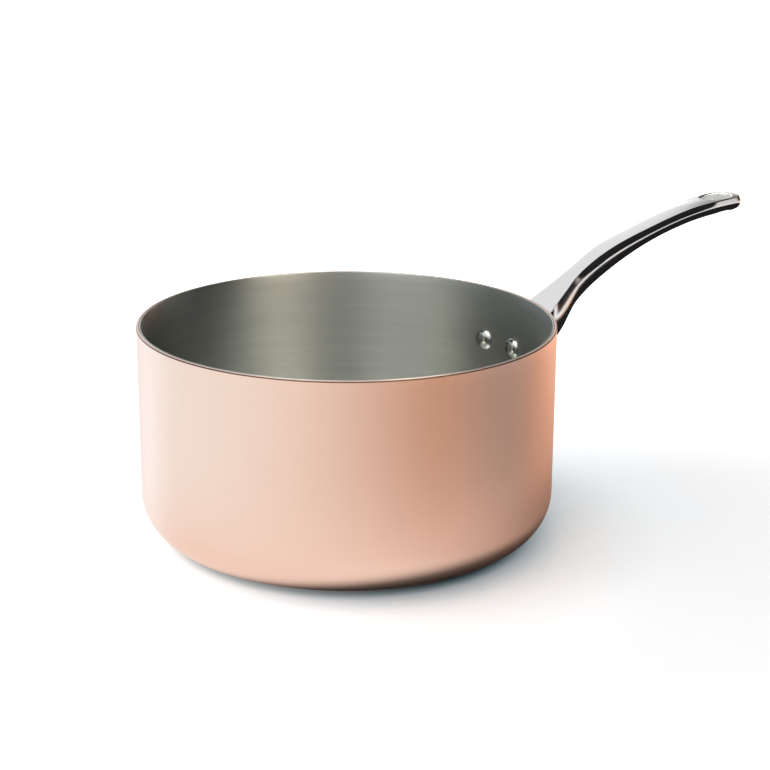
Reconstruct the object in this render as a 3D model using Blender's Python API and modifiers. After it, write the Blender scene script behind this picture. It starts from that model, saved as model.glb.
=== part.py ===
"""Straight-sided copper saucepan with a steel lining and a long cast steel handle.

Frame: metres, +Z up. The origin is the centre of the flat base, on the surface the pan stands on.
The handle leaves the wall along +X and curves upwards, and the object is symmetric about Y = 0.
"""

import math

import bmesh
import bpy
from mathutils import Matrix, Vector

MM = 0.001
GAP = 0.3 * MM

# Pan body.
PAN_RADIUS = 100 * MM
PAN_HEIGHT = 104 * MM
CORNER_RADIUS = 22 * MM
WALL_THICKNESS = 2.1 * MM
COPPER_THICKNESS = 1.5 * MM
BOND_GAP = 0.2 * MM
RIM_CHAMFER = 0.25 * MM
PAN_STEPS = 80
CORNER_SEGMENTS = 6

# Rivets: two, side by side, through the wall and the handle's flange.
RIVET_ANGLE = math.radians(6.25)
RIVET_HEIGHT = 75.5 * MM
SHANK_RADIUS = 2.5 * MM
INNER_HEAD_RADIUS = 5.5 * MM
INNER_HEAD_RISE = 2.3 * MM
OUTER_HEAD_RADIUS = 4.6 * MM
OUTER_HEAD_RISE = 1.5 * MM
RIVET_STEPS = 24

# Handle flange: a rounded plate that hugs the wall.
FLANGE_HALF_WIDTH = 19.5 * MM
FLANGE_HALF_HEIGHT = 15.5 * MM
FLANGE_CENTRE_HEIGHT = 73.5 * MM
FLANGE_THICKNESS = 3.6 * MM
FLANGE_ROUNDNESS_TOP = 4.5
FLANGE_ROUNDNESS_BOTTOM = 2.6
FLANGE_BACK_RADIUS = PAN_RADIUS + GAP
FLANGE_FRONT_RADIUS = FLANGE_BACK_RADIUS + FLANGE_THICKNESS

# Handle stem stations: distance from the pan's axis, height of the top face's edge,
# depth below it, and half width of the top face.
STEM_STATIONS = (
    (102, 86.8, 26.0, 15.2),
    (109, 86.7, 25.5, 14.4),
    (116, 87.8, 25.0, 12.8),
    (124, 90.5, 24.8, 10.6),
    (137, 98.2, 24.0, 7.3),
    (150, 106.2, 17.0, 4.7),
    (170, 115.9, 14.0, 5.1),
    (200, 124.2, 10.0, 5.8),
    (230, 130.6, 9.1, 6.9),
    (252, 132.9, 8.9, 8.6),
    (276, 133.7, 8.8, 8.9),
)
STEM_LENGTH_STEPS = 32
STEM_TIP = 275 * MM
TIP_NOSE_RADIUS = 4 * MM
TIP_PLAN_RADIUS = 9.8 * MM
TIP_STEPS = 7
CROWN_RISE = 0.5 * MM
EDGE_RADIUS = 0.5 * MM
RIDGE_DEPTH = 0.36
RIDGE_SWELL = 0.14
BELLY_ROUNDNESS = 2.2
BELLY_STEPS = 12
ROOT_BLEND = (108 * MM, 128 * MM)
WALL_BLEND = (106 * MM, 128 * MM)

# Near the wall the stem is a web under a wide top wing, which leaves room for the rivet heads.
WEB_HALF_WIDTH = 3.9 * MM
WING_DEPTH = 0.32

# Hanging eye: an oval hole through the end of the handle.
EYE_CENTRE = 258 * MM
EYE_HALF_LENGTH = 10.2 * MM
EYE_HALF_WIDTH = 6.7 * MM
EYE_TILT = math.radians(4)


def clear_scene():
    for obj in list(bpy.data.objects):
        bpy.data.objects.remove(obj, do_unlink=True)


def new_collection(name):
    collection = bpy.data.collections.new(name)
    bpy.context.scene.collection.children.link(collection)
    return collection


def new_material(name, colour, roughness, metallic=1.0):
    material = bpy.data.materials.new(name)
    material.use_nodes = True
    shader = material.node_tree.nodes["Principled BSDF"]
    shader.inputs["Base Color"].default_value = (*colour, 1.0)
    shader.inputs["Roughness"].default_value = roughness
    shader.inputs["Metallic"].default_value = metallic
    material.diffuse_color = (*colour, 1.0)
    return material


def new_object(name, mesh, collection):
    obj = bpy.data.objects.new(name, mesh)
    collection.objects.link(obj)
    return obj


def finish_part(obj, material):
    obj.data.materials.append(material)
    obj.data.shade_smooth()


def finish_cutter(obj):
    obj.hide_render = True
    obj.display_type = "WIRE"


def smoothstep(low, high, value):
    t = min(max((value - low) / (high - low), 0.0), 1.0)
    return t * t * (3.0 - 2.0 * t)


def arc(centre_x, centre_z, radius, start, end, segments):
    """Points on an arc in the XZ plane, angles in degrees from +X."""
    points = []
    for i in range(segments + 1):
        angle = math.radians(start + (end - start) * i / segments)
        points.append((centre_x + radius * math.cos(angle), centre_z + radius * math.sin(angle)))
    return points


def turned(name, profile, steps, collection):
    """A closed turned solid: profile in XZ, on the axis at both ends, down the outer side."""
    bm = bmesh.new()
    verts = [bm.verts.new((x, 0.0, z)) for x, z in profile]
    for start, end in zip(verts, verts[1:]):
        bm.edges.new((start, end))
    mesh = bpy.data.meshes.new(name)
    bm.to_mesh(mesh)
    bm.free()
    obj = new_object(name, mesh, collection)
    screw = obj.modifiers.new("Turn", "SCREW")
    screw.steps = steps
    screw.render_steps = steps
    screw.use_merge_vertices = True
    screw.merge_threshold = 0.00001
    return obj


def bowl_profile(outer_radius, outer_corner, floor, thickness):
    """Closed bowl wall, from the axis inside, up and over the rim, down to the axis outside."""
    inner_radius = outer_radius - thickness
    inner_corner = outer_corner - thickness
    corner_x = outer_radius - outer_corner
    corner_z = floor + outer_corner
    inner = [(0.0, floor + thickness)]
    inner += arc(corner_x, corner_z, inner_corner, -90, 0, CORNER_SEGMENTS)
    rim = [
        (inner_radius, PAN_HEIGHT - RIM_CHAMFER),
        (inner_radius + RIM_CHAMFER * 0.5, PAN_HEIGHT),
        (outer_radius - RIM_CHAMFER, PAN_HEIGHT),
        (outer_radius, PAN_HEIGHT - RIM_CHAMFER),
    ]
    outer = arc(corner_x, corner_z, outer_corner, 0, -90, CORNER_SEGMENTS)
    return inner + rim + outer + [(0.0, floor)]


def make_copper_shell(parts):
    profile = bowl_profile(PAN_RADIUS, CORNER_RADIUS, 0.0, COPPER_THICKNESS)
    shell = turned("copper_shell", profile, PAN_STEPS, parts)
    finish_part(shell, new_material("satin_copper", (0.78, 0.46, 0.34), 0.38))
    return shell


def make_steel_lining(parts):
    offset = COPPER_THICKNESS + BOND_GAP
    thickness = WALL_THICKNESS - offset
    profile = bowl_profile(PAN_RADIUS - offset, CORNER_RADIUS - offset, offset, thickness)
    lining = turned("steel_lining", profile, PAN_STEPS, parts)
    finish_part(lining, new_material("brushed_lining", (0.50, 0.50, 0.48), 0.32))
    return lining


def rivet_frame(side):
    """Local +Z points out through the wall, from a point on the pan's axis."""
    turn = Matrix.Rotation(side * RIVET_ANGLE, 4, "Z")
    lay = Matrix.Rotation(math.radians(90), 4, "Y")
    return Matrix.Translation((0.0, 0.0, RIVET_HEIGHT)) @ turn @ lay


def dome(radius, rise, steps):
    """Quarter outline of a low dome, from its edge to its top, as (distance, height)."""
    points = []
    for i in range(steps + 1):
        angle = math.radians(90 * i / steps)
        points.append((radius * math.cos(angle), rise * math.sin(angle)))
    points[-1] = (0.0, rise)
    return points


def rivet_profile():
    lining_radius = PAN_RADIUS - WALL_THICKNESS
    inner_seat = math.sqrt(lining_radius**2 - INNER_HEAD_RADIUS**2) - GAP
    outer_seat = FLANGE_FRONT_RADIUS + GAP
    outer = [(r, outer_seat + h) for r, h in reversed(dome(OUTER_HEAD_RADIUS, OUTER_HEAD_RISE, 5))]
    shank = [(SHANK_RADIUS, outer_seat), (SHANK_RADIUS, inner_seat)]
    inner = [(r, inner_seat - h) for r, h in dome(INNER_HEAD_RADIUS, INNER_HEAD_RISE, 6)]
    return outer + shank + inner


def make_rivets(parts):
    profile = rivet_profile()
    steel = new_material("polished_rivet", (0.72, 0.73, 0.72), 0.15)
    for name, side in (("rivet_left", 1), ("rivet_right", -1)):
        rivet = turned(name, profile, RIVET_STEPS, parts)
        rivet.matrix_world = rivet_frame(side)
        finish_part(rivet, steel)


def make_rivet_bores(cutters):
    """Cutters for the rivet holes, from inside the lining to outside the flange."""
    inside = PAN_RADIUS - 15 * MM
    outside = PAN_RADIUS + 40 * MM
    bores = []
    for name, side in (("bore_left", 1), ("bore_right", -1)):
        bm = bmesh.new()
        radius = SHANK_RADIUS + GAP
        bmesh.ops.create_cone(
            bm, cap_ends=True, segments=RIVET_STEPS, radius1=radius, radius2=radius, depth=outside - inside
        )
        bmesh.ops.translate(bm, vec=(0.0, 0.0, (inside + outside) / 2), verts=bm.verts)
        mesh = bpy.data.meshes.new(name)
        bm.to_mesh(mesh)
        bm.free()
        bore = new_object(name, mesh, cutters)
        bore.matrix_world = rivet_frame(side)
        finish_cutter(bore)
        bores.append(bore)
    return bores


def boolean(obj, other, operation):
    modifier = obj.modifiers.new(other.name, "BOOLEAN")
    modifier.operation = operation
    modifier.solver = "EXACT"
    modifier.object = other


def station_value(x, column):
    """Smooth value between the stem's stations, by Catmull-Rom through their own spacing."""
    rows = STEM_STATIONS
    x_mm = min(max(x / MM, rows[0][0]), rows[-1][0])
    last = len(rows) - 2
    index = max(i for i in range(last + 1) if rows[i][0] <= x_mm or i == 0)

    def slope(i):
        low, high = max(i - 1, 0), min(i + 1, last + 1)
        return (rows[high][column] - rows[low][column]) / (rows[high][0] - rows[low][0])

    span = rows[index + 1][0] - rows[index][0]
    t = (x_mm - rows[index][0]) / span
    start, end = rows[index][column], rows[index + 1][column]
    value = (2 * t**3 - 3 * t**2 + 1) * start + (3 * t**2 - 2 * t**3) * end
    value += (t**3 - 2 * t**2 + t) * span * slope(index) + (t**3 - t**2) * span * slope(index + 1)
    return value * MM


def side_half_width(width, u):
    """Half width at depth fraction u: out from the top edge to a soft ridge, then a round belly."""
    widest = width * (1 + RIDGE_SWELL)
    if u < RIDGE_DEPTH:
        return widest - (widest - width) * (1 - u / RIDGE_DEPTH) ** 2
    below = (u - RIDGE_DEPTH) / (1 - RIDGE_DEPTH)
    return widest * max(1 - below**BELLY_ROUNDNESS, 0.0) ** (1 / BELLY_ROUNDNESS)


def half_section(x):
    """Half of the stem's section at x, as (half width, height), from top centre to bottom centre."""
    top = station_value(x, 1)
    depth = station_value(x, 2)
    width = station_value(x, 3)
    plan_start = STEM_TIP - TIP_PLAN_RADIUS
    if x > plan_start:
        width *= math.sqrt(max(1.0 - ((x - plan_start) / TIP_PLAN_RADIUS) ** 2, 0.0004))
    root = 1.0 - smoothstep(*ROOT_BLEND, x)
    crown = [(width * f, top + CROWN_RISE * (1 - f * f)) for f in (0.0, 0.35, 0.7, 0.94)]
    belly = []
    for i in range(BELLY_STEPS + 1):
        u = (1 - math.cos(math.pi * i / BELLY_STEPS)) / 2
        wing = (width - WEB_HALF_WIDTH) * max(1 - u / WING_DEPTH, 0.0) ** 1.5
        web = (WEB_HALF_WIDTH + wing) * math.sqrt(max(1 - u**6, 0.0))
        half_width = root * web + (1 - root) * side_half_width(width, u)
        belly.append((half_width, top - EDGE_RADIUS - (depth - EDGE_RADIUS) * u))
    belly[-1] = (0.0, belly[-1][1])
    points = crown + belly
    nose_start = STEM_TIP - TIP_NOSE_RADIUS
    if x > nose_start:
        squeeze = math.sqrt(max(1.0 - ((x - nose_start) / TIP_NOSE_RADIUS) ** 2, 0.0025))
        middle = top - depth / 2
        points = [(y, middle + (z - middle) * squeeze) for y, z in points]
    return points


def stem_ring(x):
    """The whole section at x, bent round the pan close to the wall."""
    half = half_section(x)
    outline = half + [(-y, z) for y, z in reversed(half[1:-1])]
    bend = 1.0 - smoothstep(*WALL_BLEND, x)
    ring = []
    for y, z in outline:
        on_cylinder = math.sqrt(x * x - y * y)
        ring.append(Vector((x + bend * (on_cylinder - x), y, z)))
    return ring


def stem_positions():
    """Places of the sections: even along the stem, closing up round the tip."""
    start = FLANGE_BACK_RADIUS + FLANGE_THICKNESS / 2
    straight_end = STEM_TIP - TIP_PLAN_RADIUS
    positions = [start + (straight_end - start) * i / STEM_LENGTH_STEPS for i in range(STEM_LENGTH_STEPS)]
    for i in range(TIP_STEPS + 1):
        positions.append(straight_end + TIP_PLAN_RADIUS * math.sin(math.radians(90 * i / TIP_STEPS)))
    return positions


def make_stem(cutters):
    """The handle's arm, lofted from the flange to the rounded tip."""
    bm = bmesh.new()
    rings = [[bm.verts.new(point) for point in stem_ring(x)] for x in stem_positions()]
    count = len(rings[0])
    for near, far in zip(rings, rings[1:]):
        for i in range(count):
            j = (i + 1) % count
            bm.faces.new((near[i], near[j], far[j], far[i]))
    bm.faces.new(list(reversed(rings[0])))
    bm.faces.new(rings[-1])
    bmesh.ops.recalc_face_normals(bm, faces=bm.faces)
    mesh = bpy.data.meshes.new("stem")
    bm.to_mesh(mesh)
    bm.free()
    stem = new_object("stem", mesh, cutters)
    finish_cutter(stem)
    return stem


def make_flange_surface(parts):
    """Open rounded patch on the wall, its face pointing away from the pan."""
    bm = bmesh.new()
    segments = 40
    ring_factors = (0.25, 0.5, 0.75, 1.0)

    def on_wall(y, z):
        return (math.sqrt(FLANGE_BACK_RADIUS**2 - y * y), y, z)

    centre = bm.verts.new(on_wall(0.0, FLANGE_CENTRE_HEIGHT))
    rings = []
    for factor in ring_factors:
        ring = []
        for i in range(segments):
            angle = 2 * math.pi * i / segments
            power = 2 / (FLANGE_ROUNDNESS_TOP if i < segments / 2 else FLANGE_ROUNDNESS_BOTTOM)
            y = math.copysign(abs(math.cos(angle)) ** power, math.cos(angle)) * FLANGE_HALF_WIDTH
            z = math.copysign(abs(math.sin(angle)) ** power, math.sin(angle)) * FLANGE_HALF_HEIGHT
            ring.append(bm.verts.new(on_wall(y * factor, FLANGE_CENTRE_HEIGHT + z * factor)))
        rings.append(ring)
    for i in range(segments):
        j = (i + 1) % segments
        bm.faces.new((centre, rings[0][i], rings[0][j]))
        for inner, outer in zip(rings, rings[1:]):
            bm.faces.new((inner[i], outer[i], outer[j], inner[j]))
    mesh = bpy.data.meshes.new("handle")
    bm.to_mesh(mesh)
    bm.free()
    return new_object("handle", mesh, parts)


def make_eye_cutter(cutters):
    bm = bmesh.new()
    bmesh.ops.create_cone(bm, cap_ends=True, segments=32, radius1=1.0, radius2=1.0, depth=1.0)
    bmesh.ops.scale(bm, vec=(EYE_HALF_LENGTH, EYE_HALF_WIDTH, 30 * MM), verts=bm.verts)
    mesh = bpy.data.meshes.new("eye_cutter")
    bm.to_mesh(mesh)
    bm.free()
    cutter = new_object("eye_cutter", mesh, cutters)
    height = station_value(EYE_CENTRE, 1)
    cutter.matrix_world = Matrix.Translation((EYE_CENTRE, 0.0, height)) @ Matrix.Rotation(-EYE_TILT, 4, "Y")
    finish_cutter(cutter)
    return cutter


def make_handle(parts, cutters, bores):
    """One casting: the flange plate joined to the stem, then drilled."""
    handle = make_flange_surface(parts)
    plate = handle.modifiers.new("Plate", "SOLIDIFY")
    plate.thickness = FLANGE_THICKNESS
    plate.offset = 1.0
    edge = handle.modifiers.new("Edge", "BEVEL")
    edge.width = 0.8 * MM
    edge.segments = 2
    edge.limit_method = "ANGLE"
    edge.angle_limit = math.radians(50)
    boolean(handle, make_stem(cutters), "UNION")
    boolean(handle, make_eye_cutter(cutters), "DIFFERENCE")
    for bore in bores:
        boolean(handle, bore, "DIFFERENCE")
    finish_part(handle, new_material("cast_steel", (0.62, 0.62, 0.63), 0.16))


def main():
    clear_scene()
    parts = new_collection("saucepan")
    cutters = new_collection("cutters")
    shell = make_copper_shell(parts)
    lining = make_steel_lining(parts)
    bores = make_rivet_bores(cutters)
    for wall in (shell, lining):
        for bore in bores:
            boolean(wall, bore, "DIFFERENCE")
    make_handle(parts, cutters, bores)
    make_rivets(parts)


main()
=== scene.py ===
"""Looks for the copper saucepan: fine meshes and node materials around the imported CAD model."""

import math

import bmesh
import bpy
from mathutils import Matrix, Vector


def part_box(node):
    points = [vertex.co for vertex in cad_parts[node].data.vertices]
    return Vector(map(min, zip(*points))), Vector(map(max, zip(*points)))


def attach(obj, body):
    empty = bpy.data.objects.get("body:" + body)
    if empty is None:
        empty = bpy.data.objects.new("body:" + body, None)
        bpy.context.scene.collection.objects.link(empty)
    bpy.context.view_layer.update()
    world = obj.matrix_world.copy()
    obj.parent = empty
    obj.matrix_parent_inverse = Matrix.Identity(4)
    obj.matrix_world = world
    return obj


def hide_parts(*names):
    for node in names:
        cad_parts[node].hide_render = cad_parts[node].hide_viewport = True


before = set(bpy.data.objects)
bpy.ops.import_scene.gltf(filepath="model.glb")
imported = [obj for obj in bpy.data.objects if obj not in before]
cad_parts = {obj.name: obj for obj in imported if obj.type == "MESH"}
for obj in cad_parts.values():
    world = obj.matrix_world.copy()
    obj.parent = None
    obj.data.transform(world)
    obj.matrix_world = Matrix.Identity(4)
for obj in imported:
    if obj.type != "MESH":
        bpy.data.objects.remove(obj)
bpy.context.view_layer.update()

MM = 0.001

# Sizes read from the CAD nodes' boxes.
_, shell_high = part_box("copper_shell")
handle_low, handle_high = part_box("handle")
rivet_low, rivet_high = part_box("rivet_left")
PAN_RADIUS = shell_high.x
PAN_HEIGHT = shell_high.z
STEM_TIP = handle_high.x

# Pan body: the CAD model's sizes, with a closer bond between the two metals.
CORNER_RADIUS = 22 * MM
WALL_THICKNESS = 2.1 * MM
COPPER_THICKNESS = 1.5 * MM
BOND_GAP = 0.02 * MM
RIM_ROUND = 0.5 * MM
LINING_RIM_ROUND = 0.25 * MM
RIM_INNER_SHARE = 0.4
PAN_STEPS = 256
CORNER_SEGMENTS = 20
RIM_INNER_SEGMENTS = 4
RIM_OUTER_SEGMENTS = 6
BASE_RING_SHARES = (0.1, 0.3, 0.55, 0.8)
WALL_RING_SHARES = (0.25, 0.5, 0.75, 0.94)
BOWL_SHARP_ANGLE = 50

# Rivets.
RIVET_ANGLE = math.radians(6.25)
RIVET_HEIGHT = (rivet_low.z + rivet_high.z) / 2
SHANK_RADIUS = 2.5 * MM
INNER_HEAD_RADIUS = (rivet_high.z - rivet_low.z) / 2
INNER_HEAD_RISE = 2.3 * MM
OUTER_HEAD_RADIUS = 4.6 * MM
OUTER_HEAD_RISE = 1.5 * MM
CONTACT_GAP = 0.05 * MM
BORE_REACH = (PAN_RADIUS - 15 * MM, PAN_RADIUS + 40 * MM)
BORE_SEGMENTS = 48
RIVET_STEPS = 64
INNER_DOME_STEPS = 18
OUTER_DOME_STEPS = 14
RIVET_SHARP_ANGLE = 50

# Handle flange. The CAD model keeps a gap behind it, which its back fills here, up to the contact gap.
CAD_GAP = 0.3 * MM
FLANGE_HALF_WIDTH = 19.5 * MM
FLANGE_LOW = handle_low.z
FLANGE_HALF_HEIGHT = 15.5 * MM
FLANGE_CENTRE_HEIGHT = FLANGE_LOW + FLANGE_HALF_HEIGHT
FLANGE_THICKNESS = 3.6 * MM
FLANGE_ROUNDNESS_TOP = 4.5
FLANGE_ROUNDNESS_BOTTOM = 2.6
FLANGE_BACK_RADIUS = PAN_RADIUS + CONTACT_GAP
FLANGE_FRONT_RADIUS = PAN_RADIUS + CAD_GAP + FLANGE_THICKNESS
FLANGE_SEGMENTS = 96
FLANGE_RINGS = 8
FLANGE_EDGE_WIDTH = 1.2 * MM
FLANGE_EDGE_SEGMENTS = 5
FLANGE_EDGE_ANGLE = 50

# Handle stem stations: distance from the pan's axis, height of the top face's edge,
# depth below it, and half width of the top face, in millimetres.
STEM_STATIONS = (
    (102, 86.8, 26.0, 15.2),
    (109, 86.7, 25.5, 14.4),
    (116, 87.8, 25.0, 12.8),
    (124, 90.5, 24.8, 10.6),
    (137, 98.2, 24.0, 7.3),
    (150, 106.2, 17.0, 4.7),
    (170, 115.9, 14.0, 5.1),
    (200, 124.2, 10.0, 5.8),
    (230, 130.6, 9.1, 6.9),
    (252, 132.9, 8.9, 8.6),
    (276, 133.7, 8.8, 8.9),
)
STEM_LENGTH_STEPS = 120
# The stem starts this far inside the flange's front.
STEM_SUNK = 1.5 * MM
HANDLE_SHARP_ANGLE = 35

# The tip is half round in plan, and its side is set in at the top and at the belly.
TIP_PLAN_RADIUS = 9.8 * MM
TIP_TOP_INSET = 2.2 * MM
TIP_BELLY_INSET = 4.2 * MM
TIP_STEPS = 32
TIP_CLOSING_SHARE = 0.03
CLOSING_ROUNDS = 30

# Top face: a low crown, whose edge turns down this many degrees and then breaks sharply, this far
# inside the side. The crown goes out to between these shares of the half width, and its edge drops
# by at most this share of its radius.
CROWN_RISE = 0.5 * MM
CROWN_LEAST_SHARE = 0.4
CROWN_MOST_SHARE = 0.9
CROWN_STEPS = 6
EDGE_RADIUS = 0.5 * MM
EDGE_TURN = 24
EDGE_LAND = 0.03 * MM
EDGE_DROP_SHARE = 0.5
EDGE_STEPS = 4

# Side: out to a soft ridge at this share of the depth, by this share of the width and this power
# of the way down, then round the belly. Close to the pan the side is straighter and swells less.
RIDGE_DEPTH = 0.29
RIDGE_SWELL = 0.14
RIDGE_FADE = (232 * MM, 250 * MM)
SIDE_POWER = 2
ROOT_POWER_CHANGE = -0.7
ROOT_SWELL_CHANGE = -0.06
ROOT_SIDE_RISE = (106 * MM, 122 * MM)
ROOT_SIDE_FALL = (138 * MM, 175 * MM)
BELLY_ROUNDNESS = 2.2
BELLY_STEPS = 30

# Root: wings under the top face and a narrower web below them.
WEB_HALF_WIDTH = 3.9 * MM
WING_DEPTH = 0.32
WING_POWER = 1.5
WEB_RIDGE = 0.42
ROOT_BLEND = (105 * MM, 134 * MM)
WALL_BLEND = (106 * MM, 128 * MM)
ROOT_FILLET = 1.8 * MM
FILLET_STEPS = 8

# Hanging eye: an oval bore with rounded mouths, made by a cutter that reaches clear of both.
EYE_CENTRE = 258 * MM
EYE_HALF_LENGTH = 10.2 * MM
EYE_HALF_WIDTH = 6.7 * MM
EYE_TILT = math.radians(4)
EYE_ROUND = 1.0 * MM
EYE_ROUND_ANGLES = (30, 50, 70, 90)
EYE_CLEARANCE = 4 * MM
EYE_SEGMENTS = 96


# ---------------------------------------------------------------- shape helpers


def new_object(name, mesh):
    obj = bpy.data.objects.new(name, mesh)
    bpy.context.scene.collection.objects.link(obj)
    return obj


def mesh_of(name, bm):
    mesh = bpy.data.meshes.new(name)
    bm.to_mesh(mesh)
    bm.free()
    return mesh


def smoothstep(low, high, value):
    t = min(max((value - low) / (high - low), 0.0), 1.0)
    return t * t * (3.0 - 2.0 * t)


def arc(centre_x, centre_z, radius, start, end, segments):
    """Points on an arc in the XZ plane, angles in degrees from +X."""
    points = []
    for i in range(segments + 1):
        angle = math.radians(start + (end - start) * i / segments)
        points.append((centre_x + radius * math.cos(angle), centre_z + radius * math.sin(angle)))
    return points


def turned_mesh(name, profile, steps):
    """A closed turned solid: profile in XZ, on the axis at both ends, down the outer side."""
    bm = bmesh.new()
    rings = []
    for x, z in profile:
        if x == 0.0:
            rings.append([bm.verts.new((0.0, 0.0, z))])
            continue
        ring = []
        for i in range(steps):
            angle = 2 * math.pi * i / steps
            ring.append(bm.verts.new((x * math.cos(angle), x * math.sin(angle), z)))
        rings.append(ring)
    for upper, lower in zip(rings, rings[1:]):
        for i in range(steps):
            j = (i + 1) % steps
            turns = ((upper, i), (lower, i), (lower, j), (upper, j))
            corners = [ring[k % len(ring)] for ring, k in turns]
            bm.faces.new(list(dict.fromkeys(corners)))
    bmesh.ops.recalc_face_normals(bm, faces=bm.faces)
    return mesh_of(name, bm)


def boolean(obj, other, operation):
    modifier = obj.modifiers.new(other.name, "BOOLEAN")
    modifier.operation = operation
    modifier.solver = "EXACT"
    modifier.object = other


def apply_modifiers(obj):
    graph = bpy.context.evaluated_depsgraph_get()
    mesh = bpy.data.meshes.new_from_object(obj.evaluated_get(graph))
    old = obj.data
    obj.modifiers.clear()
    obj.data = mesh
    bpy.data.meshes.remove(old)


def smooth(obj, angle):
    obj.data.shade_smooth()
    obj.data.set_sharp_from_angle(angle=math.radians(angle))


# ---------------------------------------------------------------- pan


def place(obj, node, material):
    """Gives the piece its material and lets it stand for its CAD node."""
    obj.data.materials.clear()
    obj.data.materials.append(material)
    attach(obj, "root")
    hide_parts(node)


def bowl_profile(outer_radius, outer_corner, floor, thickness, rim_round):
    """Closed bowl wall, from the axis inside, up and over the rim, down to the axis outside."""
    inner_radius = outer_radius - thickness
    inner_corner = outer_corner - thickness
    corner_x = outer_radius - outer_corner
    corner_z = floor + outer_corner
    base_rings = [corner_x * f for f in BASE_RING_SHARES]
    wall_heights = [corner_z + (PAN_HEIGHT - rim_round - corner_z) * f for f in WALL_RING_SHARES]
    inner = [(0.0, floor + thickness)]
    inner += [(r, floor + thickness) for r in base_rings]
    inner += arc(corner_x, corner_z, inner_corner, -90, 0, CORNER_SEGMENTS)
    inner += [(inner_radius, z) for z in wall_heights]
    inner_round = min(rim_round, thickness * RIM_INNER_SHARE)
    rim_z = PAN_HEIGHT - inner_round
    rim = arc(inner_radius + inner_round, rim_z, inner_round, 180, 90, RIM_INNER_SEGMENTS)
    rim_z = PAN_HEIGHT - rim_round
    rim += arc(outer_radius - rim_round, rim_z, rim_round, 90, 0, RIM_OUTER_SEGMENTS)
    outer = [(outer_radius, z) for z in reversed(wall_heights)]
    outer += arc(corner_x, corner_z, outer_corner, 0, -90, CORNER_SEGMENTS)
    outer += [(r, floor) for r in reversed(base_rings)]
    return inner + rim + outer + [(0.0, floor)]


def rivet_frame(side):
    """Local +Z points out through the wall, from a point on the pan's axis."""
    turn = Matrix.Rotation(side * RIVET_ANGLE, 4, "Z")
    lay = Matrix.Rotation(math.radians(90), 4, "Y")
    return Matrix.Translation((0.0, 0.0, RIVET_HEIGHT)) @ turn @ lay


def rivet_bores():
    """Cutters for the rivets' holes, through the lining, the copper and the flange."""
    bores = []
    inside, outside = BORE_REACH
    radius = SHANK_RADIUS + CONTACT_GAP
    for side in (1, -1):
        bm = bmesh.new()
        bmesh.ops.create_cone(
            bm, cap_ends=True, segments=BORE_SEGMENTS, radius1=radius, radius2=radius, depth=outside - inside
        )
        bmesh.ops.translate(bm, vec=(0.0, 0.0, (inside + outside) / 2), verts=bm.verts)
        bore = new_object("bore_cutter", mesh_of("bore_cutter", bm))
        bore.matrix_world = rivet_frame(side)
        bores.append(bore)
    return bores


def make_bowl(name, node, material, profile, bores):
    bowl = new_object(name, turned_mesh(name, profile, PAN_STEPS))
    for bore in bores:
        boolean(bowl, bore, "DIFFERENCE")
    apply_modifiers(bowl)
    smooth(bowl, BOWL_SHARP_ANGLE)
    place(bowl, node, material)


def dome(radius, rise, steps):
    """Outline of a low dome, from its edge to its top, as (distance, height)."""
    points = []
    for i in range(steps + 1):
        angle = math.radians(90 * i / steps)
        points.append((radius * math.cos(angle), rise * math.sin(angle)))
    points[-1] = (0.0, rise)
    return points


def rivet_profile():
    """Outline of a rivet along its own axis: the outer head's top, the shank, the inner head's top."""
    lining_radius = PAN_RADIUS - WALL_THICKNESS
    inner_seat = lining_radius - CONTACT_GAP
    outer_seat = FLANGE_FRONT_RADIUS - CONTACT_GAP
    outer_dome = dome(OUTER_HEAD_RADIUS, OUTER_HEAD_RISE, OUTER_DOME_STEPS)
    outer = [(r, outer_seat + h) for r, h in reversed(outer_dome)]
    shank = [(SHANK_RADIUS, outer_seat), (SHANK_RADIUS, inner_seat)]
    inner = [(r, inner_seat - h) for r, h in dome(INNER_HEAD_RADIUS, INNER_HEAD_RISE, INNER_DOME_STEPS)]
    return outer + shank + inner


def make_rivets(material):
    for name, side in (("rivet_left", 1), ("rivet_right", -1)):
        rivet = new_object(name + "_dome", turned_mesh(name, rivet_profile(), RIVET_STEPS))
        rivet.data.transform(rivet_frame(side))
        smooth(rivet, RIVET_SHARP_ANGLE)
        place(rivet, name, material)


# ---------------------------------------------------------------- handle


def station_value(x, column):
    """Smooth value between the stem's stations, by Catmull-Rom through their own spacing."""
    rows = STEM_STATIONS
    x_mm = min(max(x / MM, rows[0][0]), rows[-1][0])
    last = len(rows) - 2
    index = max(i for i in range(last + 1) if rows[i][0] <= x_mm or i == 0)

    def slope(i):
        low, high = max(i - 1, 0), min(i + 1, last + 1)
        return (rows[high][column] - rows[low][column]) / (rows[high][0] - rows[low][0])

    span = rows[index + 1][0] - rows[index][0]
    t = (x_mm - rows[index][0]) / span
    start, end = rows[index][column], rows[index + 1][column]
    value = (2 * t**3 - 3 * t**2 + 1) * start + (3 * t**2 - 2 * t**3) * end
    value += (t**3 - 2 * t**2 + t) * span * slope(index) + (t**3 - t**2) * span * slope(index + 1)
    return value * MM


def belly_share(below):
    """Share of the full measure left at a share of the way down a rounded belly."""
    return max(1 - below**BELLY_ROUNDNESS, 0.0) ** (1 / BELLY_ROUNDNESS)


def side_half_width(width, u, swell_by, power):
    """Half width at depth fraction u: out from the top edge to a soft ridge, then a round belly."""
    widest = width * (1 + swell_by)
    if u < RIDGE_DEPTH:
        return widest - (widest - width) * (1 - u / RIDGE_DEPTH) ** power
    return widest * belly_share((u - RIDGE_DEPTH) / (1 - RIDGE_DEPTH))


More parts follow.
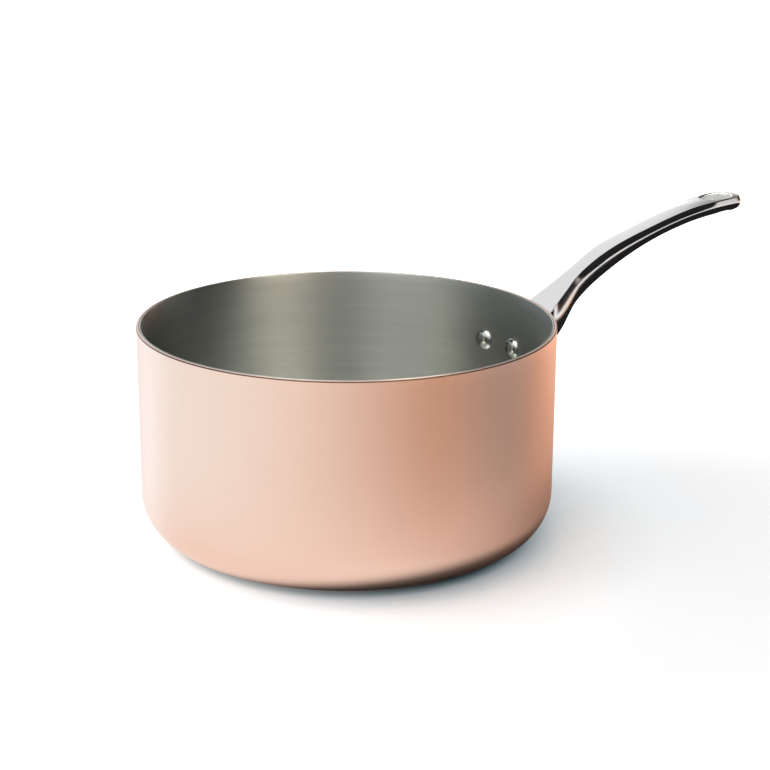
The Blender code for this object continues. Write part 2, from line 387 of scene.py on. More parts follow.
def root_half_width(width, u):
    """Half width near the flange: a wing under the top face, then a rounded web."""
    wing = (width - WEB_HALF_WIDTH) * max(1 - u / WING_DEPTH, 0.0) ** WING_POWER
    return wing + WEB_HALF_WIDTH * belly_share(max(u - WEB_RIDGE, 0.0) / (1 - WEB_RIDGE))


def side_inset(u):
    """How far inside the tip's outline the side ends at depth fraction u: rounded above and below."""
    if u < RIDGE_DEPTH:
        return TIP_TOP_INSET * (1 - u / RIDGE_DEPTH) ** 2
    return TIP_BELLY_INSET * (1 - belly_share((u - RIDGE_DEPTH) / (1 - RIDGE_DEPTH)))


def last_open(past_start, closed):
    """Depth fraction at which the tip's side just reaches past_start, between the ridge and closed."""
    inside, outside = RIDGE_DEPTH, closed
    if TIP_PLAN_RADIUS - side_inset(closed) > past_start:
        return closed
    for _ in range(CLOSING_ROUNDS):
        middle = (inside + outside) / 2
        if TIP_PLAN_RADIUS - side_inset(middle) > past_start:
            inside = middle
        else:
            outside = middle
    return inside + (RIDGE_DEPTH - inside) * TIP_CLOSING_SHARE


def tip_narrowing(past_start, inset):
    """Share of the full width left at a distance past the start of the tip's round plan."""
    if past_start <= 0:
        return 1.0
    return math.sqrt(max(1.0 - (past_start / (TIP_PLAN_RADIUS - inset)) ** 2, 0.0))


def half_section(x):
    """Half of the stem's section at x, as (half width, height), from top centre to bottom centre."""
    top = station_value(x, 1)
    depth = station_value(x, 2)
    width = station_value(x, 3)
    root = 1.0 - smoothstep(*ROOT_BLEND, x)
    near_root = smoothstep(*ROOT_SIDE_RISE, x) * (1.0 - smoothstep(*ROOT_SIDE_FALL, x))
    swell_by = RIDGE_SWELL * (1.0 - smoothstep(*RIDGE_FADE, x)) + ROOT_SWELL_CHANGE * near_root
    power = SIDE_POWER + ROOT_POWER_CHANGE * near_root
    past_start = x - (STEM_TIP - TIP_PLAN_RADIUS)
    highest = last_open(past_start, 0.0)
    lowest = last_open(past_start, 1.0)
    edge = EDGE_RADIUS if highest == 0.0 else 0.0
    edge = min(edge, max(TIP_PLAN_RADIUS - TIP_TOP_INSET - past_start, 0.0))
    side_depth = depth - EDGE_RADIUS

    def side_point(u):
        stem = side_half_width(width, u, swell_by, power)
        half_width = root * root_half_width(width, u) + (1 - root) * stem
        return half_width * tip_narrowing(past_start, side_inset(u)), top - EDGE_RADIUS - side_depth * u

    shoulder, shoulder_height = side_point(highest)
    flat = max(min(shoulder - edge, shoulder * CROWN_MOST_SHARE), shoulder * CROWN_LEAST_SHARE)
    crown = []
    for i in range(CROWN_STEPS):
        y = flat * i / CROWN_STEPS
        crown.append((y, shoulder_height + edge + CROWN_RISE * (flat**2 - y**2) / width**2))
    turn = math.radians(EDGE_TURN)
    bend = (shoulder - EDGE_LAND - flat) / math.sin(turn)
    for i in range(EDGE_STEPS + 1):
        angle = turn * i / EDGE_STEPS
        drop = min(bend * (1 - math.cos(angle)), edge * EDGE_DROP_SHARE)
        crown.append((flat + bend * math.sin(angle), shoulder_height + edge - drop))
    belly = []
    for i in range(BELLY_STEPS + 1):
        share = (1 - math.cos(math.pi * i / BELLY_STEPS)) / 2
        belly.append(side_point(highest + (lowest - highest) * share))
    belly[-1] = (0.0, belly[-1][1])
    return crown + belly


def swell(points, amount):
    """Moves an outline outwards along its own normals, for the fillet where the stem meets the flange."""
    if amount <= 0:
        return points
    moved = []
    for i, (y, z) in enumerate(points):
        before = points[max(i - 1, 0)]
        after = points[min(i + 1, len(points) - 1)]
        dy, dz = after[0] - before[0], after[1] - before[1]
        length = math.hypot(dy, dz) or 1.0
        normal = (-dz / length, dy / length)
        if i == 0:
            normal = (0.0, 1.0)
        if i == len(points) - 1:
            normal = (0.0, -1.0)
        moved.append((max(y + normal[0] * amount, 0.0), z + normal[1] * amount))
    return moved


def stem_ring(x):
    """The whole section at x, bent round the pan close to the wall."""
    half = half_section(x)
    reach = (x - FLANGE_FRONT_RADIUS) / ROOT_FILLET
    if reach < 1:
        reach = max(reach, 0.0)
        half = swell(half, ROOT_FILLET * (1 - math.sqrt(1 - (1 - reach) ** 2)))
    outline = half + [(-y, z) for y, z in reversed(half[1:-1])]
    bend = 1.0 - smoothstep(*WALL_BLEND, x)
    ring = []
    for y, z in outline:
        on_cylinder = math.sqrt(x * x - y * y)
        ring.append(Vector((x + bend * (on_cylinder - x), y, z)))
    return ring


def stem_positions():
    """Places of the sections: close at the flange's fillet, even along the stem, closing up at the tip."""
    fillet_end = FLANGE_FRONT_RADIUS + ROOT_FILLET
    straight_end = STEM_TIP - TIP_PLAN_RADIUS
    straight = straight_end - fillet_end
    positions = [FLANGE_FRONT_RADIUS - STEM_SUNK]
    for i in range(FILLET_STEPS):
        angle = math.radians(90 * i / FILLET_STEPS)
        positions.append(FLANGE_FRONT_RADIUS + ROOT_FILLET * (1 - math.cos(angle)))
    positions += [fillet_end + straight * i / STEM_LENGTH_STEPS for i in range(STEM_LENGTH_STEPS)]
    for i in range(TIP_STEPS):
        positions.append(straight_end + TIP_PLAN_RADIUS * math.sin(math.radians(90 * i / TIP_STEPS)))
    return positions


def stem_mesh():
    """The stem as one loft through all its sections."""
    bm = bmesh.new()
    rings = [[bm.verts.new(point) for point in stem_ring(x)] for x in stem_positions()]
    count = len(rings[0])
    for near, far in zip(rings, rings[1:]):
        for i in range(count):
            j = (i + 1) % count
            bm.faces.new((near[i], near[j], far[j], far[i]))
    bm.faces.new(list(reversed(rings[0])))
    bm.faces.new(rings[-1])
    bmesh.ops.recalc_face_normals(bm, faces=bm.faces)
    return mesh_of("stem", bm)


def flange_object():
    """Rounded plate on the wall: an open patch made solid, with a soft edge."""
    bm = bmesh.new()

    def on_wall(y, z):
        return (math.sqrt(FLANGE_BACK_RADIUS**2 - y * y), y, z)

    centre = bm.verts.new(on_wall(0.0, FLANGE_CENTRE_HEIGHT))
    rings = []
    for step in range(1, FLANGE_RINGS + 1):
        factor = step / FLANGE_RINGS
        ring = []
        for i in range(FLANGE_SEGMENTS):
            angle = 2 * math.pi * i / FLANGE_SEGMENTS
            power = 2 / (FLANGE_ROUNDNESS_TOP if i < FLANGE_SEGMENTS / 2 else FLANGE_ROUNDNESS_BOTTOM)
            y = math.copysign(abs(math.cos(angle)) ** power, math.cos(angle)) * FLANGE_HALF_WIDTH
            z = math.copysign(abs(math.sin(angle)) ** power, math.sin(angle)) * FLANGE_HALF_HEIGHT
            ring.append(bm.verts.new(on_wall(y * factor, FLANGE_CENTRE_HEIGHT + z * factor)))
        rings.append(ring)
    for i in range(FLANGE_SEGMENTS):
        j = (i + 1) % FLANGE_SEGMENTS
        bm.faces.new((centre, rings[0][i], rings[0][j]))
        for inner, outer in zip(rings, rings[1:]):
            bm.faces.new((inner[i], outer[i], outer[j], inner[j]))
    flange = new_object("cast_handle", mesh_of("cast_handle", bm))
    plate = flange.modifiers.new("Plate", "SOLIDIFY")
    plate.thickness = FLANGE_FRONT_RADIUS - FLANGE_BACK_RADIUS
    plate.offset = 1.0
    edge = flange.modifiers.new("Edge", "BEVEL")
    edge.width = FLANGE_EDGE_WIDTH
    edge.segments = FLANGE_EDGE_SEGMENTS
    edge.limit_method = "ANGLE"
    edge.angle_limit = math.radians(FLANGE_EDGE_ANGLE)
    return flange


def eye_cutter():
    """Oval cutter for the hanging eye, flared at both mouths so that the eye's edges are rounded."""
    depth = station_value(EYE_CENTRE, 2)
    middle = station_value(EYE_CENTRE, 1) - depth / 2
    half = depth / 2
    levels = [(-half - EYE_CLEARANCE, EYE_ROUND), (-half, EYE_ROUND)]
    for degrees in EYE_ROUND_ANGLES:
        angle = math.radians(degrees)
        levels.append((-half + EYE_ROUND * (1 - math.cos(angle)), EYE_ROUND * (1 - math.sin(angle))))
    levels += [(-z, grow) for z, grow in reversed(levels)]
    bm = bmesh.new()
    rings = []
    for z, grow in levels:
        ring = []
        for i in range(EYE_SEGMENTS):
            angle = 2 * math.pi * i / EYE_SEGMENTS
            x = (EYE_HALF_LENGTH + grow) * math.cos(angle)
            y = (EYE_HALF_WIDTH + grow) * math.sin(angle)
            ring.append(bm.verts.new((x, y, z)))
        rings.append(ring)
    for lower, upper in zip(rings, rings[1:]):
        for i in range(EYE_SEGMENTS):
            j = (i + 1) % EYE_SEGMENTS
            bm.faces.new((lower[i], lower[j], upper[j], upper[i]))
    bm.faces.new(list(reversed(rings[0])))
    bm.faces.new(rings[-1])
    bmesh.ops.recalc_face_normals(bm, faces=bm.faces)
    cutter = new_object("eye_cutter", mesh_of("eye_cutter", bm))
    cutter.matrix_world = Matrix.Translation((EYE_CENTRE, 0.0, middle)) @ Matrix.Rotation(-EYE_TILT, 4, "Y")
    return cutter


def make_handle(material, bores):
    handle = flange_object()
    stem = new_object("stem_cutter", stem_mesh())
    eye = eye_cutter()
    boolean(handle, stem, "UNION")
    boolean(handle, eye, "DIFFERENCE")
    for bore in bores:
        boolean(handle, bore, "DIFFERENCE")
    apply_modifiers(handle)
    smooth(handle, HANDLE_SHARP_ANGLE)
    for cutter in (stem, eye):
        bpy.data.objects.remove(cutter)
    place(handle, "handle", material)


# ---------------------------------------------------------------- materials


def is_linked(term):
    return isinstance(term, tuple) and isinstance(term[0], bpy.types.Node)


class Nodes:
    """Builds a node tree in a few lines. A term is a plain value or a (node, output) pair."""

    def __init__(self, tree):
        self.tree = tree
        tree.nodes.clear()

    def add(self, kind, **settings):
        node = self.tree.nodes.new(kind)
        for name, value in settings.items():
            if name.startswith("in_"):
                node.inputs[name[3:].replace("_", " ")].default_value = value
            else:
                setattr(node, name, value)
        return node

    def link(self, source, output, target, socket):
        self.tree.links.new(source.outputs[output], target.inputs[socket])

    def feed(self, node, sockets, terms):
        for socket, term in zip(sockets, terms):
            if is_linked(term):
                self.link(*term, node, socket)
            else:
                node.inputs[socket].default_value = term
        return node

    def calc(self, operation, *terms):
        return self.feed(self.add("ShaderNodeMath", operation=operation), range(len(terms)), terms)

    def vector(self, operation, *terms):
        return self.feed(self.add("ShaderNodeVectorMath", operation=operation), range(len(terms)), terms)

    def mix(self, factor, low, high):
        """A colour that goes from low to high with the factor."""
        node = self.add("ShaderNodeMix", data_type="RGBA")
        colours = [term if is_linked(term) else (*term, 1.0) for term in (low, high)]
        return self.feed(node, ("Factor", "A", "B"), (factor, *colours))

    def ramp(self, source, start, end, interpolation="SMOOTHSTEP"):
        """Zero at start, one at end, and level outside them."""
        node = self.add("ShaderNodeMapRange", interpolation_type=interpolation)
        return self.feed(node, (0, 1, 2), (source, start, end))

    def spread(self, source, low, high):
        """Low to high as the source goes from zero to one."""
        return self.feed(self.add("ShaderNodeMapRange"), ("Value", "To Min", "To Max"), (source, low, high))

    def noise(self, source, scale, detail, roughness=0.5):
        node = self.add("ShaderNodeTexNoise", in_Scale=scale, in_Detail=detail, in_Roughness=roughness)
        return self.feed(node, ("Vector",), (source,))


def new_material(name):
    material = bpy.data.materials.new(name)
    material.use_nodes = True
    return material, Nodes(material.node_tree)


def new_metal(name):
    material, nodes = new_material(name)
    out = nodes.add("ShaderNodeOutputMaterial")
    shader = nodes.add("ShaderNodeBsdfPrincipled", in_Metallic=1.0)
    nodes.link(shader, 0, out, 0)
    return material, nodes, shader


def add_bump(nodes, shader, source, strength, distance):
    bump = nodes.add("ShaderNodeBump", in_Strength=strength, in_Distance=distance)
    nodes.link(source, "Fac", bump, "Height")
    nodes.link(bump, 0, shader, "Normal")


def round_the_pan(nodes):
    """Coordinates (angle, height, distance) about the pan's axis, from object space."""
    coords = nodes.add("ShaderNodeTexCoord")
    split = nodes.add("ShaderNodeSeparateXYZ")
    nodes.link(coords, "Object", split, 0)
    angle = nodes.calc("ARCTAN2", (split, "Y"), (split, "X"))
    flat = nodes.feed(nodes.add("ShaderNodeCombineXYZ"), ("X", "Y"), ((split, "X"), (split, "Y")))
    distance = nodes.vector("LENGTH", (flat, 0))
    around = nodes.add("ShaderNodeCombineXYZ")
    return nodes.feed(around, ("X", "Y", "Z"), ((angle, 0), (split, "Z"), (distance, "Value")))


def brushed(nodes, around, scale, detail):
    """Noise drawn out along the pan's turning direction, as a brush leaves it."""
    stretch = nodes.vector("MULTIPLY", (around, 0), scale)
    return nodes.noise((stretch, 0), 1.0, detail, BRUSH_GRAIN)


# Brush marks run round the pan, so they spread reflections upright, a quarter turn from the marks.
UPRIGHT = 0.25
BRUSH_RELIEF = 0.2 * MM
BRUSH_GRAIN = 0.6

# Brush marks and the wider patches among them: how often they repeat per radian round the pan, and
# per metre up and through it, and how many finer layers they have.
COPPER_LINES = ((6.0, 9000.0, 3000.0), 3.0)
COPPER_CLOUDS = ((2.5, 22.0, 22.0), 2.0)
COPPER_ROUGHNESS = (0.36, 0.46)
COPPER_TINTS = ((0.925, 0.63, 0.515), (0.955, 0.66, 0.545))
COPPER_ANISOTROPY = 0.3
COPPER_BUMP = 0.06
LINING_LINES = ((5.0, 3500.0, 3500.0), 5.0)
LINING_STREAKS = ((1.6, 260.0, 260.0), 3.0)
LINING_ROUGHNESS = (0.33, 0.45)
LINING_TINTS = ((0.35, 0.365, 0.355), (0.47, 0.48, 0.455))
LINING_ANISOTROPY = 0.85
LINING_BUMP = 0.15

# Painted shade and painted highlight on the copper rim: its rounded edge is painted dark, and its flat top
# is painted pale again. Each band comes in between two depths below the rim.
RIM_PAINTED_LIGHT_BANDS = (
    (0.75 * MM, 0.45 * MM, (0.10, 0.05, 0.035)),
    (0.14 * MM, 0.04 * MM, (0.60, 0.46, 0.40)),
)


def pan_metal(name, anisotropy, lines, patches, roughness, tints, bump):
    """A metal brushed round the pan: fine lines in its gloss and wider patches in its colour."""
    material, nodes, shader = new_metal(name)
    shader.inputs["Anisotropic"].default_value = anisotropy
    shader.inputs["Anisotropic Rotation"].default_value = UPRIGHT
    around = round_the_pan(nodes)
    fine = brushed(nodes, around, *lines)
    wide = brushed(nodes, around, *patches)
    nodes.link(nodes.spread((fine, "Fac"), *roughness), 0, shader, "Roughness")
    tint = nodes.mix((wide, "Fac"), *tints)
    add_bump(nodes, shader, fine, bump, BRUSH_RELIEF)
    tangent = nodes.add("ShaderNodeTangent", direction_type="RADIAL", axis="Z")
    nodes.link(tangent, 0, shader, "Tangent")
    return material, nodes, shader, around, tint


def copper_material():
    material, nodes, shader, around, colour = pan_metal(
        "satin_copper",
        COPPER_ANISOTROPY,
        COPPER_LINES,
        COPPER_CLOUDS,
        COPPER_ROUGHNESS,
        COPPER_TINTS,
        COPPER_BUMP,
    )
    split = nodes.add("ShaderNodeSeparateXYZ")
    nodes.link(around, 0, split, 0)
    # Paints the rim's shade and highlight into the copper's colour.
    for low, high, painted_colour in RIM_PAINTED_LIGHT_BANDS:
        painted_band = nodes.ramp((split, "Y"), PAN_HEIGHT - low, PAN_HEIGHT - high, "LINEAR")
        colour = nodes.mix((painted_band, 0), (colour, "Result"), painted_colour)
    nodes.link(colour, "Result", shader, "Base Color")
    return material


def lining_material():
    material, nodes, shader, _, tint = pan_metal(
        "brushed_lining",
        LINING_ANISOTROPY,
        LINING_LINES,
        LINING_STREAKS,
        LINING_ROUGHNESS,
        LINING_TINTS,
        LINING_BUMP,
    )
    nodes.link(tint, "Result", shader, "Base Color")
    return material


HANDLE_STEEL = (0.62, 0.62, 0.63)
HANDLE_ROUGHNESS = (0.07, 0.13)
RIVET_STEEL = (0.68, 0.70, 0.68)
RIVET_ROUGHNESS = (0.06, 0.12)
# Noise scale and detail.
BUFFING_MARKS = (260.0, 4.0)
WAVES = (45.0, 1.0)
WAVES_DULLING = 0.94
WAVES_BUMP = 0.05
WAVES_RELIEF = 0.3 * MM

# The hanging eye's bore is left matt from the casting, and its colour is painted pale as painted light in
# the bore, inside this many of its own radii.
EYE_ROUGHNESS = 0.5
EYE_PAINTED_LIGHT = (0.92, 0.92, 0.92)
EYE_MATT_WITHIN = 1.03
EYE_POLISHED_FROM = 1.08


def inside_eye(nodes, coords):
    """One within the hanging eye's bore, nothing outside it, in object space."""
    moved = nodes.vector("SUBTRACT", (coords, "Object"), (EYE_CENTRE, 0.0, 0.0))
    scaled = nodes.vector("MULTIPLY", (moved, 0), (1 / EYE_HALF_LENGTH, 1 / EYE_HALF_WIDTH, 0.0))
    distance = nodes.vector("LENGTH", (scaled, 0))
    return nodes.ramp((distance, "Value"), EYE_POLISHED_FROM, EYE_MATT_WITHIN, "LINEAR")


def polished_material(name, colour, roughness, with_eye=False):
    """Polished cast steel with faint buffing marks and a slight waviness."""
    material, nodes, shader = new_metal(name)
    coords = nodes.add("ShaderNodeTexCoord")
    marks = nodes.noise((coords, "Object"), *BUFFING_MARKS)
    waves = nodes.noise((coords, "Object"), *WAVES)
    rough = (nodes.spread((marks, "Fac"), *roughness), 0)
    duller = tuple(channel * WAVES_DULLING for channel in colour)
    tint = (nodes.mix((waves, "Fac"), duller, colour), "Result")
    # The eye's bore: matt, and painted pale as painted light.
    if with_eye:
        bore = (inside_eye(nodes, coords), 0)
        matt = nodes.add("ShaderNodeMix", data_type="FLOAT")
        rough = (nodes.feed(matt, (0, 2, 3), (bore, rough, EYE_ROUGHNESS)), 0)
        tint = (nodes.mix(bore, tint, EYE_PAINTED_LIGHT), "Result")
    nodes.link(*rough, shader, "Roughness")
    nodes.link(*tint, shader, "Base Color")
    add_bump(nodes, shader, waves, WAVES_BUMP, WAVES_RELIEF)
    return material


# ---------------------------------------------------------------- stage


# Camera: an 85 mm lens in front of the pan, looking a little down at it, with the handle going
# away to the right.
CAMERA_LENS = 85.0
CAMERA_SENSOR = 36.0
CAMERA_CLIP = (0.01, 50.0)
CAMERA_PLACE = Vector((-0.5074, -0.6673, 0.3311))
CAMERA_HEADING = math.radians(-38.5)
CAMERA_PITCH = math.radians(17.195)
CAMERA_ROLL = math.radians(0.370)

# The key light's direction and spread in degrees: azimuth 0 is towards the camera, 90 its right.
KEY_AZIMUTH = -92
KEY_ELEVATION = 42
KEY_SPREAD = 50
KEY_STRENGTH = 0.7

# What only glossy rays see of the surroundings. Directions are given as the camera faces: azimuth
# 0 is towards the camera, 90 its right, -90 its left, 180 away from it; elevation is above the
# horizon. All in degrees.
STUDIO_TURN = math.radians(90) - CAMERA_HEADING
STUDIO_BASE = (0.78, 0.77, 0.74)
# name, azimuth, half width, softness, lowest, highest, softness up and down, colour
STUDIO_CARDS = (
    ("left low", -110, 72, 48, -90, 8, 12, (0.96, 1.18, 1.26)),
    ("left low edge", -145, 25, 15, -90, 8, 12, (1.13, 1.46, 1.65)),
    ("right brown", 82, 62, 34, -60, 24, 20, (0.44, 0.28, 0.18)),
    ("right far warm", 134, 27, 14, -70, 12, 8, (1.7, 1.13, 0.83)),
    ("back low", 192, 20, 10, -24, 10, 6, (1.0, 1.0, 1.0)),
    ("back white", 208, 34, 6, 10, 70, 3, (1.2, 1.2, 1.2)),
    ("back bright", 182, 9, 5, 12, 22, 3, (1.6, 1.6, 1.6)),
    ("left dark", -106, 20, 8, 12, 75, 8, (0.03, 0.05, 0.05)),
    ("front left box", -38, 26, 12, 34, 72, 6, (6.8, 6.8, 6.4)),
    ("front gap", 4, 7, 8, 34, 72, 6, (1.6, 1.5, 1.35)),
    ("front right box", 50, 17, 11, 34, 72, 6, (13.6, 12.6, 10.5)),
    ("right dark", 120, 48, 6, 14, 80, 6, (0.0, 0.0, 0.0)),
    ("root dark", 112, 20, 6, -10, -2, 1.5, (0.02, 0.02, 0.02)),
    ("root facet", 112, 18, 4, -1, 14, 2, (0.6, 0.6, 0.62)),
    ("root glint", 84, 10, 4, -8, 5, 2, (0.45, 0.42, 0.41)),
    ("below right", 120, 48, 10, -100, -17.1, 1.5, (0.02, 0.02, 0.02)),
    ("right strip", 86, 26, 8, -15.8, -10.8, 1.0, (1.3, 1.3, 1.3)),
    ("ceiling", 0, 200, 1, 78, 100, 5, (0.10, 0.10, 0.10)),
)
# What every other ray sees: a plain, faintly cool white room.
ROOM_COLOUR = (0.985, 1.0, 1.02)
ROOM_WHITE = 0.74


def turned_coords(nodes, space, angle):
    """Coordinates turned about the vertical, and the same split into X, Y and Z."""
    coords = nodes.add("ShaderNodeTexCoord")
    turned = nodes.add("ShaderNodeVectorRotate", rotation_type="Z_AXIS", in_Angle=angle)
    nodes.link(coords, space, turned, "Vector")
    split = nodes.add("ShaderNodeSeparateXYZ")
    nodes.link(turned, 0, split, 0)
    return turned, split


def fade(nodes, source, half, soft):
    """One within half - soft of the middle, nothing past half + soft."""
    return nodes.ramp((source, 0), math.radians(half + soft), math.radians(half - soft))


def sector(nodes, azimuth, place_at, half, soft):
    """One near an azimuth, nothing away from it."""
    from_centre = nodes.calc("SUBTRACT", (azimuth, 0), math.radians(place_at))
    wrapped = nodes.calc("WRAP", (from_centre, 0), math.pi, -math.pi)
    return fade(nodes, nodes.calc("ABSOLUTE", (wrapped, 0)), half, soft)


def make_world():
    """A studio's surroundings: soft pale and dark cards that the metal reflects, in a white room."""
    world = bpy.data.worlds.new("studio")
    bpy.context.scene.world = world
    world.use_nodes = True
    nodes = Nodes(world.node_tree)
    out = nodes.add("ShaderNodeOutputWorld")
    room = nodes.add("ShaderNodeBackground", in_Color=(*ROOM_COLOUR, 1.0), in_Strength=ROOM_WHITE)
    cards = nodes.add("ShaderNodeBackground")
    path = nodes.add("ShaderNodeLightPath")
    choose = nodes.add("ShaderNodeMixShader")
    nodes.feed(choose, range(3), ((path, "Is Glossy Ray"), (room, 0), (cards, 0)))
    nodes.link(choose, 0, out, 0)
    _, split = turned_coords(nodes, "Generated", STUDIO_TURN)
    azimuth = nodes.calc("ARCTAN2", (split, "Y"), (split, "X"))
    elevation = nodes.calc("ARCSINE", (split, "Z"))
    seen = STUDIO_BASE
    for _, place_at, half, soft, low, high, soft_up, tint in STUDIO_CARDS:
        sides = sector(nodes, azimuth, place_at, half, soft)
        from_middle = nodes.calc("SUBTRACT", (elevation, 0), math.radians((low + high) / 2))
        above = nodes.calc("ABSOLUTE", (from_middle, 0))
        ends = fade(nodes, above, (high - low) / 2, soft_up)
        mask = nodes.calc("MULTIPLY", (sides, 0), (ends, 0))
        seen = (nodes.mix((mask, 0), seen, tint), "Result")
    nodes.link(*seen, cards, "Color")


FLOOR_SIZE = 8.0
FLOOR_DROP = 0.4 * MM
FLOOR_COLOUR = (0.9, 0.9, 0.9)
# Painted contact shadow: the floor's colour is dark under the pan, and turns pale between these distances
# from its axis.
CONTACT_SHADOW_COLOUR = (0.05, 0.05, 0.05)
CONTACT_START = 80 * MM
CONTACT_END = 92.5 * MM
# Painted light: a faint blue and green glow close to the pan cancels the copper-coloured light that the
# copper throws on the floor.
BOUNCE_CANCEL_GLOW = (0.01, 0.075, 0.10)
BOUNCE_CANCEL_START = 110 * MM
BOUNCE_CANCEL_END = 220 * MM
# The floor glows faintly clear of the pan, so that it goes over into the white room.
GLOW = 0.2
GLOW_START = 90 * MM
GLOW_END = 160 * MM
# More glow along the floor as the camera faces, X to its right and Y away: axis, start, end, glow.
FLOOR_GLOWS = (
    ("X", 60 * MM, -140 * MM, 0.5),
    ("Y", 60 * MM, 300 * MM, 0.5),
    ("Y", -150 * MM, -320 * MM, 0.2),
)


def make_floor():
    """A plain pale floor with a painted contact shadow and painted glows, which the metal doesn't mirror."""
    bm = bmesh.new()
    bmesh.ops.create_grid(bm, x_segments=1, y_segments=1, size=FLOOR_SIZE)
    floor = new_object("floor", mesh_of("floor", bm))
    floor.location.z = -FLOOR_DROP
    material, nodes = new_material("floor_white")
    out = nodes.add("ShaderNodeOutputMaterial")
    coords = nodes.add("ShaderNodeTexCoord")
    distance = (nodes.vector("LENGTH", (coords, "Object")), "Value")
    # The painted contact shadow in the floor's colour.
    contact = (nodes.ramp(distance, CONTACT_START, CONTACT_END), 0)
    diffuse = nodes.add("ShaderNodeBsdfDiffuse")
    nodes.link(nodes.mix(contact, CONTACT_SHADOW_COLOUR, FLOOR_COLOUR), "Result", diffuse, "Color")
    near = (nodes.ramp(distance, BOUNCE_CANCEL_END, BOUNCE_CANCEL_START), 0)
    bounce_cancel_glow = nodes.add("ShaderNodeEmission", in_Color=(*BOUNCE_CANCEL_GLOW, 1.0))
    nodes.link(nodes.calc("MULTIPLY", near, contact), 0, bounce_cancel_glow, "Strength")
    clear = (nodes.ramp(distance, GLOW_START, GLOW_END), 0)
    total = nodes.calc("MULTIPLY", clear, GLOW)
    _, split = turned_coords(nodes, "Object", -CAMERA_HEADING)
    for axis, start, end, more in FLOOR_GLOWS:
        spread = nodes.ramp((split, axis), start, end)
        total = nodes.calc("MULTIPLY_ADD", (spread, 0), more, (total, 0))
    glow = nodes.add("ShaderNodeEmission")
    nodes.link(total, 0, glow, "Strength")
    surface = diffuse
    for light in (glow, bounce_cancel_glow):
        surface = nodes.feed(nodes.add("ShaderNodeAddShader"), range(2), ((surface, 0), (light, 0)))
    nodes.link(surface, 0, out, 0)
    floor.data.materials.append(material)
    floor.visible_glossy = False


def only_reflected(obj):
    """Leaves the object to glossy rays alone."""
    obj.visible_camera = False
    obj.visible_diffuse = False
    obj.visible_shadow = False


# The pool of light on the floor round the pan, as the copper's lower wall mirrors it: a painted reflection.
# It comes up from dark to bright and then fades to its end at these distances from a point that is shifted
# from the pan's axis.
# In its shadow sector it is darker by this share and warmer, as painted copper-coloured bounce light, and on
# its open side it isn't there.
POOL_RAISE = 0.1 * MM
POOL_DARK = 91.5 * MM
POOL_BRIGHT = 103.5 * MM
POOL_FADE = 125 * MM
POOL_END = 240 * MM
POOL_SHIFT = 14 * MM
POOL_COLOUR = (0.96, 0.95, 0.93)
POOL_WARM = (1.0, 0.72, 0.58)
POOL_SHADOW = 0.8
POOL_SEGMENTS = 96
# azimuth, half width, softness, as for the studio's cards
POOL_SHADOW_SECTOR = (118, 62, 52)
POOL_OPEN_SECTOR = (-130, 50, 30)


def make_pool():
    """A disc seen only in reflections: the shade under the pan and the lit floor round it."""
    bm = bmesh.new()
    bmesh.ops.create_circle(bm, cap_ends=True, segments=POOL_SEGMENTS, radius=POOL_END)
    pool = new_object("floor_reflection", mesh_of("floor_reflection", bm))
    pool.location.z = POOL_RAISE - FLOOR_DROP
    material, nodes = new_material("floor_pool")
    out = nodes.add("ShaderNodeOutputMaterial")
    turned, split = turned_coords(nodes, "Object", STUDIO_TURN)
    azimuth = nodes.calc("ARCTAN2", (split, "Y"), (split, "X"))
    shifted = nodes.vector("SUBTRACT", (turned, 0), (0.0, POOL_SHIFT, 0.0))
    distance = (nodes.vector("LENGTH", (shifted, 0)), "Value")
    lit = (nodes.ramp(distance, POOL_DARK, POOL_BRIGHT), 0)
    fading = (nodes.ramp(distance, POOL_FADE, POOL_END), 0)
    shadow = (sector(nodes, azimuth, *POOL_SHADOW_SECTOR), 0)
    shade = (nodes.calc("MULTIPLY_ADD", shadow, -POOL_SHADOW, 1.0), 0)
    glow = nodes.add("ShaderNodeEmission")
    nodes.link(nodes.mix(shadow, POOL_COLOUR, POOL_WARM), "Result", glow, "Color")
    nodes.link(nodes.calc("MULTIPLY", lit, shade), 0, glow, "Strength")
    open_side = (sector(nodes, azimuth, *POOL_OPEN_SECTOR), 0)
    hidden = (nodes.calc("MAXIMUM", fading, open_side), 0)
    clear = nodes.add("ShaderNodeBsdfTransparent")
    choose = nodes.add("ShaderNodeMixShader")
    nodes.feed(choose, range(3), (hidden, (glow, 0), (clear, 0)))
    nodes.link(choose, 0, out, 0)
    pool.data.materials.append(material)
    only_reflected(pool)


# Strips beside the handle that are there for its polish to mirror. The light that passes under the
# first draws the line along the handle's ridge. name, distance aside, start and end along the
# handle, how far past the part of the handle that shows it, foot and head above the ridge, brightness
FLAG_STEPS = 24
FLAGS = (
    ("flag_beside", 90 * MM, 184 * MM, 347 * MM, 72 * MM, -19 * MM, 101 * MM, 0.02),
    ("flag_above", 90 * MM, 88 * MM, 184 * MM, 32 * MM, 20 * MM, 150 * MM, 0.02),
    ("flag_pale", 88 * MM, 140 * MM, 196 * MM, 50 * MM, -13 * MM, 42 * MM, 0.5),
)


def make_flag(name, aside, start, end, lead, foot, head, brightness):
    """An upright strip beside the handle that follows its ridge, seen only in reflections."""
    bm = bmesh.new()
    pairs = []
    for i in range(FLAG_STEPS + 1):
        x = start + (end - start) * i / FLAG_STEPS
        beside = min(max(x - lead, ROOT_BLEND[0]), STEM_TIP)
        ridge = station_value(beside, 1) - RIDGE_DEPTH * station_value(beside, 2)
        pairs.append([bm.verts.new((x, -aside, ridge + z)) for z in (foot, head)])
    for (low, high), (next_low, next_high) in zip(pairs, pairs[1:]):
        bm.faces.new((low, next_low, next_high, high))
    flag = new_object(name, mesh_of(name, bm))
    material, nodes = new_material(name)
    out = nodes.add("ShaderNodeOutputMaterial")
    glow = nodes.add("ShaderNodeEmission", in_Color=(brightness, brightness, brightness, 1.0))
    nodes.link(glow, 0, out, 0)
    flag.data.materials.append(material)
    only_reflected(flag)


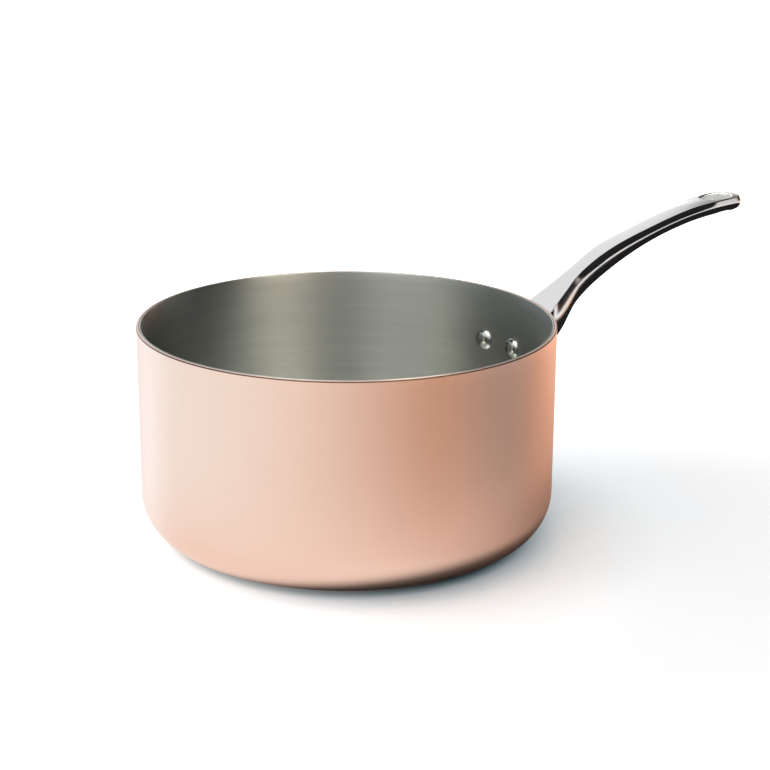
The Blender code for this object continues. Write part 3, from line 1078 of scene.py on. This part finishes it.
def make_key_light():
    """A soft light on the floor from far off, which the metal doesn't mirror."""
    data = bpy.data.lights.new("key", "SUN")
    data.energy = KEY_STRENGTH
    data.angle = math.radians(KEY_SPREAD)
    light = bpy.data.objects.new("key", data)
    bpy.context.scene.collection.objects.link(light)
    around = math.radians(KEY_AZIMUTH)
    up = math.radians(KEY_ELEVATION)
    flat = math.cos(up)
    as_camera_faces = Vector((flat * math.sin(around), -flat * math.cos(around), math.sin(up)))
    towards = Matrix.Rotation(CAMERA_HEADING, 4, "Z") @ as_camera_faces
    light.rotation_mode = "QUATERNION"
    light.rotation_quaternion = (-towards).to_track_quat("-Z", "Y")
    light.visible_glossy = False


def make_camera():
    data = bpy.data.cameras.new("camera")
    data.lens = CAMERA_LENS
    data.sensor_width = CAMERA_SENSOR
    data.clip_start, data.clip_end = CAMERA_CLIP
    camera = bpy.data.objects.new("camera", data)
    bpy.context.scene.collection.objects.link(camera)
    camera.location = CAMERA_PLACE
    turn = Matrix.Rotation(CAMERA_HEADING, 4, "Z")
    tip = Matrix.Rotation(math.radians(90) - CAMERA_PITCH, 4, "X")
    roll = Matrix.Rotation(CAMERA_ROLL, 4, "Z")
    camera.rotation_mode = "QUATERNION"
    camera.rotation_quaternion = (turn @ tip @ roll).to_quaternion()
    bpy.context.scene.camera = camera


# ---------------------------------------------------------------- the whole


def main():
    bores = rivet_bores()
    outside = bowl_profile(PAN_RADIUS, CORNER_RADIUS, 0.0, COPPER_THICKNESS, RIM_ROUND)
    make_bowl("copper_body", "copper_shell", copper_material(), outside, bores)
    offset = COPPER_THICKNESS + BOND_GAP
    inside = bowl_profile(
        PAN_RADIUS - offset, CORNER_RADIUS - offset, offset, WALL_THICKNESS - offset, LINING_RIM_ROUND
    )
    make_bowl("steel_inside", "steel_lining", lining_material(), inside, bores)
    make_handle(polished_material("cast_steel", HANDLE_STEEL, HANDLE_ROUGHNESS, True), bores)
    make_rivets(polished_material("polished_rivet", RIVET_STEEL, RIVET_ROUGHNESS))
    for bore in bores:
        bpy.data.objects.remove(bore)
    make_world()
    make_floor()
    make_pool()
    for flag in FLAGS:
        make_flag(*flag)
    make_key_light()
    make_camera()
    bpy.context.scene.view_settings.view_transform = "Standard"


main()
